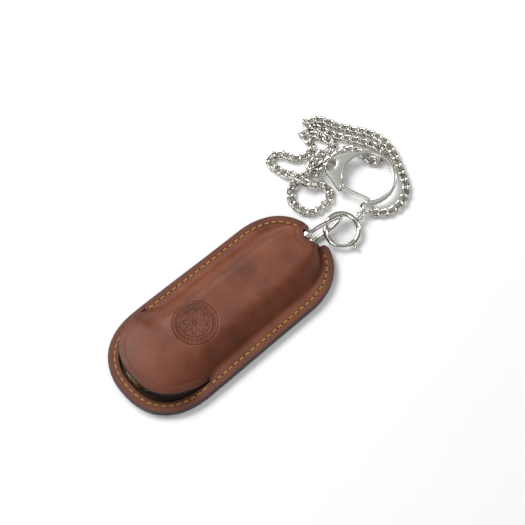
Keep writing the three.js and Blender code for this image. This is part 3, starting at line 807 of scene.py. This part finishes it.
def stitched(name, points, height, under, stands_for):
    """A saddle-stitched run: stitches above, and below if asked, with an awl hole at each joint, shown as a
    near-black lens of painted shade.
    """
    settings = bpy.context.scene.knife_case
    rng = random.Random(name)
    track = Track(points)
    count = max(round(track.length / settings.stitch_pitch), 1)
    pitch = track.length / count
    one = stitch_mesh(pitch * 0.84, settings.thread_diameter / 2)
    hole = bmesh.new()
    bmesh.ops.create_uvsphere(hole, u_segments=10, v_segments=6, radius=1)
    hole = as_mesh(hole, "hole")
    threads = bmesh.new()
    holes = bmesh.new()
    for i in range(count):
        spot, along = track.at((i + 0.5) * pitch)
        turn = math.atan2(along.y, along.x) + math.radians(rng.uniform(-3.5, 3.5))
        places = [(height(spot.x, spot.y) + 0.04, 1)]
        if under:
            places.append((0.2, -1))
        for z, way in places:
            move = (
                Matrix.Translation((spot.x, spot.y, z)) @ Matrix.Rotation(turn, 4, "Z")
                @ Matrix.Diagonal((rng.uniform(0.94, 1.03), rng.uniform(0.92, 1.05), way, 1))
            )
            add_copy(threads, one, move)
    # Each awl hole is a flat near-black lens just under the leather's face: painted shade, not the leather's
    # colour.
    for i in range(count + 1):
        spot, along = track.at(i * pitch)
        move = (
            Matrix.Translation((spot.x, spot.y, height(spot.x, spot.y) - 0.13))
            @ Matrix.Rotation(math.atan2(along.y, along.x), 4, "Z") @ Matrix.Diagonal((0.5, 0.34, 0.1, 1))
        )
        add_copy(holes, hole, move)
    bmesh.ops.recalc_face_normals(threads, faces=threads.faces)
    finish_piece(name, as_mesh(threads, name), "case", [material("thread")], stands_for, 60)
    finish_piece(name + "_holes", as_mesh(holes, name), "case", [material("hole")], (), 60)


# ---------- metal pieces ----------
def ring_matrix():
    return Matrix.Translation(RING_CENTRE) @ Matrix.Rotation(RING_TILT, 4, "X")


def hook_matrix():
    return (
        Matrix.Translation(HOOK_CENTRE) @ Matrix.Rotation(LAYOUT_TURN, 4, "Z")
        @ Matrix.Rotation(HOOK_TILT, 4, "X")
    )


def polar(radius, degrees, z=0.0):
    a = math.radians(degrees)
    return Vector((radius * math.cos(a), radius * math.sin(a), z))


def oval(length, width, wire, count=48):
    """The centreline of an oval ring with half-round ends, flat on XY."""
    half = (length - width) / 2
    radius = (width - wire) / 2
    points = []
    for centre, start in ((half, -math.pi / 2), (-half, math.pi / 2)):
        for i in range(count // 2 + 1):
            a = start + math.pi * i / (count // 2)
            points.append(Vector((centre + radius * math.cos(a), radius * math.sin(a), 0)))
    if half <= 1e-6:
        points = [polar(radius, 360 * i / count) for i in range(count)]
    return points


def arc_points(radius, start, stop, count):
    return [polar(radius, mix(start, stop, i / count)) for i in range(count + 1)]


def quadratic(a, b, c, count=12):
    a, b, c = Vector(a), Vector(b), Vector(c)
    shares = [i / count for i in range(1, count + 1)]
    return [a * (1 - t) ** 2 + 2 * b * t * (1 - t) + c * t * t for t in shares]


def hook_outline():
    points = [p.to_2d() for p in arc_points(HOOK_OUTER, -95, 107, 72)]
    points += quadratic(points[-1], (-9.4, 12.7), (-13.6, 10.5))
    points += quadratic((-13.6, 10.5), (-18.5, 8), (-18.9, 4.9))
    points += quadratic((-18.9, 4.9), (-18.7, 2.6), (-16, -1))
    points.append(Vector((-13.5, -5.1)))
    points += quadratic((-13.5, -5.1), (-12.2, -6.8), (-10.6, -5.6), 8)
    points += [p.to_2d() for p in arc_points(HOOK_INNER, math.degrees(math.pi + 0.34), -95, 72)]
    return points


# ---------- settings ----------
class KnifeCaseSettings(bpy.types.PropertyGroup):
    stitch_pitch: FloatProperty(
        name="Stitch pitch", description="Distance from one stitch to the next, in millimetres",
        default=3.15, min=1.5, max=6,
    )
    thread_diameter: FloatProperty(
        name="Thread", description="Diameter of the sewing thread, in millimetres",
        default=0.82, min=0.3, max=1.5,
    )
    emblem_x: FloatProperty(
        name="Emblem along", description="Place of the pressed ornament along the case, in millimetres",
        default=-13.8,
    )
    emblem_y: FloatProperty(
        name="Emblem across", description="Place of the pressed ornament across the case, in millimetres",
        default=1.0,
    )
    link_pitch: FloatProperty(
        name="Link pitch", description="Length that each curb link adds to the chain, in millimetres",
        default=3.75, min=2, max=8,
    )
    link_width: FloatProperty(
        name="Link width", description="Outer width of a curb link, in millimetres",
        default=3.9, min=2, max=8,
    )
    link_wire: FloatProperty(
        name="Link wire", description="Wire diameter of a curb link, in millimetres",
        default=1.3, min=0.4, max=2,
    )
    polish: FloatProperty(
        name="Polish", description="Roughness of the polished nickel", default=0.06,
        min=0.02, max=0.6, subtype="FACTOR",
    )


class StageSettings(bpy.types.PropertyGroup):
    azimuth: FloatProperty(
        name="Camera azimuth", description="Angle of the camera about the upright axis",
        default=math.radians(-40.9), subtype="ANGLE",
    )
    elevation: FloatProperty(
        name="Camera elevation", description="Angle of the camera above the table",
        default=math.radians(68), subtype="ANGLE",
    )
    width: FloatProperty(
        name="View width", description="Width that the camera sees at the case",
        default=0.2265, subtype="DISTANCE",
    )
    lens: FloatProperty(
        name="Lens", description="Focal length in millimetres", default=150, min=20, max=300,
    )
    key_power: FloatProperty(
        name="Key light", description="Power of the main softbox in watts", default=13, min=0,
    )
    floor_colour: FloatVectorProperty(
        name="Floor", description="Colour of the table", subtype="COLOR", size=3,
        default=(0.9, 0.9, 0.9), min=0, max=1,
    )


# ---------- operators ----------
class KNIFECASE_OT_stage(bpy.types.Operator):
    """Lay the table and set up the softboxes and the camera"""

    bl_idname = "knife_case.stage"
    bl_label = "Stage and camera"

    def execute(self, context):
        stage = context.scene.knife_case_stage
        back = Vector((
            math.sin(stage.azimuth) * math.cos(stage.elevation),
            -math.cos(stage.azimuth) * math.cos(stage.elevation),
            math.sin(stage.elevation),
        ))
        target = Vector((0.0288, 0.00705, 0.0))
        camera = bpy.data.cameras.new("camera")
        camera.lens = stage.lens
        camera.sensor_width = 36
        camera.clip_end = 10
        viewer = bpy.data.objects.new("camera", camera)
        viewer.location = target + back * stage.width * stage.lens / 36
        viewer.rotation_euler = back.to_track_quat("Z", "Y").to_euler()
        context.scene.collection.objects.link(viewer)
        context.scene.camera = viewer

        form = bmesh.new()
        bmesh.ops.create_grid(form, x_segments=8, y_segments=8, size=3)
        bmesh.ops.translate(form, verts=form.verts, vec=(0, 0, -0.00012))
        floor = bpy.data.objects.new("table", as_mesh(form, "table"))
        context.scene.collection.objects.link(floor)
        paper, shader, place = new_material("matt white paper")
        shade = speckle(paper, place, 60, 2, 0.5)
        low = tuple(c * 0.985 for c in stage.floor_colour) + (1,)
        link(paper, blend(paper, shade, low, tuple(stage.floor_colour) + (1,)), shader.inputs["Base Color"])
        shader.inputs["Roughness"].default_value = 0.9
        shader.inputs["Specular IOR Level"].default_value = 0.2
        floor.data.materials.append(paper)

        boxes = [
            ("key_softbox", (-0.12, 0.75, 0.85), (0.75, 0.55), stage.key_power, "#ffffff"),
            ("fill_softbox", (-0.75, -0.35, 0.8), (0.5, 0.5), stage.key_power * 0.2, "#fbfdff"),
            ("end_strip", (0.85, -0.25, 0.6), (0.15, 0.8), stage.key_power * 0.15, "#ffffff"),
        ]
        for name, place, size, power, tint in boxes:
            lamp = bpy.data.lights.new(name, "AREA")
            lamp.shape = "RECTANGLE"
            lamp.size, lamp.size_y = size
            lamp.energy = power
            lamp.color = linear(tint)[:3]
            holder = bpy.data.objects.new(name, lamp)
            holder.location = place
            aim = Vector(place) - Vector((0.04, 0.01, 0))
            holder.rotation_euler = aim.to_track_quat("Z", "Y").to_euler()
            context.scene.collection.objects.link(holder)
        # The plain sRGB view keeps every base colour as it is written here.
        context.scene.view_settings.view_transform = "Standard"
        world = bpy.data.worlds.new("studio")
        context.scene.world = world
        world.use_nodes = True
        world.node_tree.nodes.clear()
        # The walls are dark near the table and pale overhead, so polished metal has both to reflect.
        where = add_node(world, "ShaderNodeTexCoord").outputs["Generated"]
        height = add_node(world, "ShaderNodeSeparateXYZ", {"Vector": where}).outputs["Z"]
        walls = ramp(world, height, [(0.0, 0.3), (0.1, 0.015), (0.55, 0.03), (0.78, 0.75), (1.0, 1.0)])
        light = add_node(world, "ShaderNodeBackground", {"Color": walls, "Strength": 0.62})
        add_node(world, "ShaderNodeOutputWorld", {"Surface": light.outputs[0]})
        return {"FINISHED"}


class KNIFECASE_OT_curb_chain(bpy.types.Operator):
    """Lay the curb chain along its run, link by link"""

    bl_idname = "knife_case.curb_chain"
    bl_label = "Curb chain"

    def execute(self, context):
        settings = context.scene.knife_case
        route = [Vector(p) / MM for p in CHAIN_ROUTE]
        dense = catmull(route, 24)
        # The links lie on the table, a little lower than the middle of the solid that stands for them.
        lift = settings.link_wire + 0.12
        line = [Vector((p.x, p.y, max(p.z - 0.25, lift))) for p in dense]
        line += [Vector((72.75, 24.9, 4.5)), Vector((72.95, 23.7, 4.3))]
        track = Track(line)
        count = round(track.length / settings.link_pitch)
        pitch = track.length / count
        long = (pitch + settings.link_wire) / 2
        wide = (settings.link_width - settings.link_wire) / 2
        lie = 0.62 * settings.link_wire
        steps = 18
        rings = []
        for i in range(steps):
            a = 2 * math.pi * i / steps
            round_x = math.copysign(abs(math.cos(a)) ** 0.85, math.cos(a))
            round_y = math.copysign(abs(math.sin(a)) ** 0.85, math.sin(a))
            rings.append(Vector((long * round_x, wide * round_y, lie * math.sin(2 * a))))
        one = swept(rings, settings.link_wire / 2, 6, closed=True)
        rng = random.Random(11)
        chain = bmesh.new()
        for i in range(count + 1):
            middle = min(i * pitch, track.length)
            centre, _ = track.at(middle)
            before, _ = track.at(middle - pitch / 2)
            after, _ = track.at(middle + pitch / 2)
            along = (after - before).normalized()
            side = Vector((0, 0, 1)).cross(along).normalized()
            up = along.cross(side)
            turn = Matrix((along, side, up)).transposed().to_4x4()
            roll = Matrix.Rotation(math.radians(rng.uniform(-9, 9)), 4, "X")
            add_copy(chain, one, Matrix.Translation(centre) @ turn @ roll)
        links = nickel_piece("curb_links", as_mesh(chain, "curb_links"), "chain", "curb_chain", 70)
        return {"FINISHED"}


class KNIFECASE_OT_leather_panels(bpy.types.Operator):
    """Cut and form the back, the crowned front and the band round the mouth"""

    bl_idname = "knife_case.leather_panels"
    bl_label = "Leather panels"

    def execute(self, context):
        settings = context.scene.knife_case
        finish = [material("leather"), material("edge"), material("flesh")]
        centre = Vector((settings.emblem_x, settings.emblem_y, 0))
        front = leather_slab(
            "front_panel", front_layout(), front_top, LEATHER,
            refine=lambda spot: (spot - centre).length < 10.8, pressed=emblem,
        )
        finish_piece("front_panel", front, "case", finish, ("case_front_panel",), 60)
        back = leather_slab("back_panel", back_layout(), lambda x, y: 0.0, LEATHER, groove=False)
        back.transform(Matrix.Translation((0, 0, LEATHER)))
        for face in back.polygons:
            if face.material_index == 2:
                face.material_index = 0
            elif face.material_index == 0:
                face.material_index = 2
        finish_piece("back_panel", back, "case", finish, ("case_back_panel",), 60)
        facing = leather_slab("mouth_facing", facing_layout(), lambda x, y: FLANGE_TOP, LEATHER)
        finish_piece("mouth_facing", facing, "case", finish, ("case_mouth_facing",), 60)
        return {"FINISHED"}


class KNIFECASE_OT_stitching(bpy.types.Operator):
    """Sew the panels together round the edge"""

    bl_idname = "knife_case.stitching"
    bl_label = "Stitching"

    def execute(self, context):
        stitched(
            "stitches_left", outline(STITCH_INSET, -22.8, 53.4, 1), front_top, True, ("thread_run_left",)
        )
        stitched(
            "stitches_right", outline(STITCH_INSET, -24.4, 53.6, -1), front_top, True,
            ("thread_run_right",),
        )
        stitched(
            "stitches_mouth", mouth_outline(STITCH_INSET, -30.5, -26.5), lambda x, y: FLANGE_TOP, True,
            ("thread_run_mouth",),
        )
        return {"FINISHED"}


class KNIFECASE_OT_knife(bpy.types.Operator):
    """Finish the closed knife and make the loop that hangs it"""

    bl_idname = "knife_case.knife"
    bl_label = "Knife and shackle"

    def execute(self, context):
        finishes = {
            "silver": [
                "knife_front_foot_bolster", "knife_back_foot_bolster", "knife_front_head_bolster",
                "knife_back_head_bolster", "knife_pivot_pin", "knife_spring_pin",
            ],
            "horn": ["knife_front_scale", "knife_back_scale"],
            "brass": ["knife_front_liner", "knife_back_liner"],
            "steel": ["knife_blade", "knife_back_spring"],
        }
        for name, nodes in finishes.items():
            for node in nodes:
                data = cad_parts[node].data
                data.materials.clear()
                data.materials.append(material(name))
        pin = Vector((49.1, 0.4))
        top = 11.45
        low = 1.05
        line = catmull(
            [
                (pin.x, pin.y, top), (54, 0.4, top - 0.6), (60.5, 0, 8.7), (65.2, -0.5, 6.9),
                (66.9, -0.7, 5.5), (65.8, -0.9, 4), (61, -1.1, 2.6), (55.5, -0.5, 1.4),
                (pin.x, pin.y, low),
            ],
            10,
        )
        parts = [swept(line, 0.95, 16)]
        for z in (top, low):
            parts.append(rod(1.9, z - 0.9, z + 0.9, pin, 0.3))
        nickel_piece("shackle_loop", joined(parts), "shackle", "shackle", 40)
        nickel_piece("shackle_rivet", rod(1.1, 0.12, 12.66, pin, 0.3), "knife", "shackle_pin", 40)
        return {"FINISHED"}


class KNIFECASE_OT_spring_ring(bpy.types.Operator):
    """Make the spring ring: its tube, eye, bolt and knob"""

    bl_idname = "knife_case.spring_ring"
    bl_label = "Spring ring"

    def execute(self, context):
        place = ring_matrix()
        form = bmesh.new()
        outer = bmesh.ops.create_circle(form, segments=22, radius=RING_TUBE)["verts"]
        inner = bmesh.ops.create_circle(form, segments=22, radius=0.86)["verts"]
        bmesh.ops.bridge_loops(form, edges=form.edges[:])
        stand = Matrix.Rotation(math.pi / 2, 3, "X")
        bmesh.ops.rotate(form, verts=outer + inner, cent=(0, 0, 0), matrix=stand)
        bmesh.ops.translate(form, verts=outer + inner, vec=(RING_RADIUS, 0, 0))
        start = math.radians(RING_OPEN[1])
        bmesh.ops.rotate(form, verts=form.verts, cent=(0, 0, 0), matrix=Matrix.Rotation(start, 3, "Z"))
        sweep = math.radians(RING_OPEN[0] + 360 - RING_OPEN[1])
        bmesh.ops.spin(
            form, geom=form.verts[:] + form.edges[:] + form.faces[:], cent=(0, 0, 0), axis=(0, 0, 1),
            angle=sweep, steps=84, use_duplicate=False,
        )
        bmesh.ops.remove_doubles(form, verts=form.verts, dist=1e-4)
        bmesh.ops.recalc_face_normals(form, faces=form.faces)
        tube = as_mesh(form, "tube")
        slot_line = arc_points(RING_RADIUS + RING_TUBE, KNOB_ANGLE - 6, KNOB_ANGLE + 61, 30)
        tube = cut(tube, swept(slot_line, 0.45, 8))
        eye = turned(
            swept(oval(3.9, 3.9, 0.9), 0.45, 12, closed=True),
            Matrix.Translation(polar(RING_RADIUS + RING_TUBE + 1.4, 0)),
        )
        ring = turned(joined([tube, eye]), place)
        nickel_piece("spring_ring", ring, "spring_ring", "spring_ring_tube", 35)
        bolt = swept(arc_points(RING_RADIUS, RING_OPEN[0] - 6, KNOB_ANGLE + 7, 40), RING_BOLT, 16)
        form = bmesh.new()
        bmesh.ops.create_uvsphere(form, u_segments=20, v_segments=14, radius=0.8)
        bmesh.ops.translate(form, verts=form.verts, vec=polar(RING_RADIUS + 2.4, KNOB_ANGLE))
        knob = as_mesh(form, "knob")
        stem = swept([polar(RING_RADIUS, KNOB_ANGLE), polar(RING_RADIUS + 2.3, KNOB_ANGLE)], 0.42, 12)
        bolt = turned(joined([bolt, stem, knob]), place)
        nickel_piece("ring_bolt", bolt, "ring_bolt", "spring_ring_bolt", 45)
        coils = 26
        coil = []
        for i in range(coils * 10 + 1):
            share = i / (coils * 10)
            a = math.radians(mix(KNOB_ANGLE + 10, -8, share))
            phase = 2 * math.pi * coils * share
            radius = RING_RADIUS + 0.46 * math.cos(phase)
            coil.append(Vector((radius * math.cos(a), radius * math.sin(a), 0.46 * math.sin(phase))))
        finish_piece(
            "ring_coil_spring", turned(swept(coil, 0.12, 6), place), "spring_ring",
            [material("steel")], ("spring_ring_spring",), 70,
        )
        return {"FINISHED"}


class KNIFECASE_OT_links(bpy.types.Operator):
    """Make the small link, the jump ring and the ring in the hook's eye"""

    bl_idname = "knife_case.links"
    bl_label = "Links and rings"

    def execute(self, context):
        middle = Vector((75.4, -4.75, 3.45))
        upright = Matrix.Rotation(math.pi / 2, 4, "X")
        small = turned(
            swept(oval(5.4, 3.2, 0.9), 0.45, 12, closed=True),
            Matrix.Translation(middle) @ Matrix.Rotation(math.radians(12), 4, "Z")
            @ Matrix.Rotation(math.radians(20), 4, "Y") @ upright,
        )
        nickel_piece("small_oval_link", small, "small_link", "small_link")
        middle = Vector((79.15, -4.15, 2.05))
        # A jump ring is a bent wire whose two ends meet at a fine gap.
        wire = [polar(2.8, mix(2, 358, i / 60)) for i in range(61)]
        tilt = Matrix.Rotation(math.radians(21.4), 4, "Y") @ Matrix.Rotation(0.7, 4, "Z")
        jump = turned(swept(wire, 0.5, 12), Matrix.Translation(middle) @ tilt)
        nickel_piece("round_jump_ring", jump, "chain", "jump_ring")
        eye = turned(
            swept(oval(8.2, 6.2, 1.0), 0.5, 12, closed=True),
            hook_matrix() @ Matrix.Translation((-18.8, 4.1, 0)) @ Matrix.Rotation(math.radians(29), 4, "Z")
            @ upright,
        )
        nickel_piece("oval_eye_ring", eye, "chain", "hook_eye_ring")
        return {"FINISHED"}


class KNIFECASE_OT_snap_hook(bpy.types.Operator):
    """Make the snap hook's plate, its sprung gate and their pin"""

    bl_idname = "knife_case.snap_hook"
    bl_label = "Snap hook"

    def execute(self, context):
        place = hook_matrix()
        turn = Matrix.Rotation(-0.5, 2)
        hole = []
        for i in range(40):
            a = 2 * math.pi * i / 40
            hole.append(turn @ Vector((1.7 * math.cos(a), 2.7 * math.sin(a))) + Vector((-15.5, 5.9)))
        plate = flat_plate([hook_outline(), hole], HOOK_THICKNESS, 0.55, 3)
        form = bmesh.new()
        bmesh.ops.create_cube(form, size=1)
        bmesh.ops.scale(form, vec=(5, 6, 1.4), verts=form.verts)
        bmesh.ops.translate(form, vec=(GATE_PIVOT.x + 1.2, GATE_PIVOT.y - 0.6, 0), verts=form.verts)
        plate = cut(plate, as_mesh(form, "slot"))
        # The flat faces are brushed and the rounded edges are polished.
        for face in plate.polygons:
            face.material_index = 0 if abs(face.normal.z) > 0.97 else 1
        finish_piece(
            "hook_plate", turned(plate, place), "snap_hook",
            [material("satin"), material("polished")], ("snap_hook_body",), 28,
        )
        half, knuckle = 0.75, 0.95
        bar = [p.to_2d() for p in arc_points(knuckle, 90, 270, 12)]
        bar += [p.to_2d() + Vector((GATE_LENGTH - half, 0)) for p in arc_points(half, -90, 90, 12)]
        window = [Vector((1.5, -0.22)), Vector((GATE_LENGTH - 1.0, -0.22)), Vector((GATE_LENGTH - 1.0, 0.22)),
                  Vector((1.5, 0.22))]
        gate = flat_plate([bar, window], 0.95, 0.2, 2)
        swing = place @ Matrix.Translation(GATE_PIVOT) @ Matrix.Rotation(GATE_TURN, 4, "Z")
        nickel_piece("hook_gate", turned(gate, swing), "gate", "snap_gate", 35)
        rivet = turned(rod(0.55, -1.12, 1.12, GATE_PIVOT, 0.15), place)
        nickel_piece("gate_rivet", rivet, "snap_hook", "gate_pivot_pin", 40)
        leaf = [(-0.8, 0, 0), (-0.3, 0.08, 0), (0.3, 0.02, 0), (0.8, -0.12, 0)]
        spring = turned(
            swept(catmull(leaf, 6), 0.16, 8), place @ Matrix.Translation(GATE_PIVOT + Vector((-0.2, 1.5, 0)))
        )
        finish_piece(
            "gate_leaf_spring", spring, "snap_hook", [material("steel")], ("gate_spring",)
        )
        return {"FINISHED"}


class KNIFECASE_PT_panel(bpy.types.Panel):
    """Lists the case's settings and the pieces that can be made"""

    bl_idname = "KNIFECASE_PT_panel"
    bl_label = "Knife case"
    bl_space_type = "VIEW_3D"
    bl_region_type = "UI"
    bl_category = "Knife case"

    def draw(self, context):
        layout = self.layout
        for group in (context.scene.knife_case, context.scene.knife_case_stage):
            column = layout.column(align=True)
            for name in group.__annotations__:
                column.prop(group, name)
        for operator in OPERATORS:
            layout.operator(operator.bl_idname)


OPERATORS = (
    KNIFECASE_OT_stage,
    KNIFECASE_OT_curb_chain,
    KNIFECASE_OT_leather_panels,
    KNIFECASE_OT_stitching,
    KNIFECASE_OT_knife,
    KNIFECASE_OT_spring_ring,
    KNIFECASE_OT_links,
    KNIFECASE_OT_snap_hook,
)
CLASSES = (KnifeCaseSettings, StageSettings, *OPERATORS, KNIFECASE_PT_panel)


def register():
    for each in CLASSES:
        bpy.utils.register_class(each)
    bpy.types.Scene.knife_case = PointerProperty(type=KnifeCaseSettings)
    bpy.types.Scene.knife_case_stage = PointerProperty(type=StageSettings)


def unregister():
    del bpy.types.Scene.knife_case_stage
    del bpy.types.Scene.knife_case
    for each in reversed(CLASSES):
        bpy.utils.unregister_class(each)


def main():
    register()
    for operator in OPERATORS:
        group, name = operator.bl_idname.split(".")
        getattr(getattr(bpy.ops, group), name)()


if __name__ == "__main__":
    main()
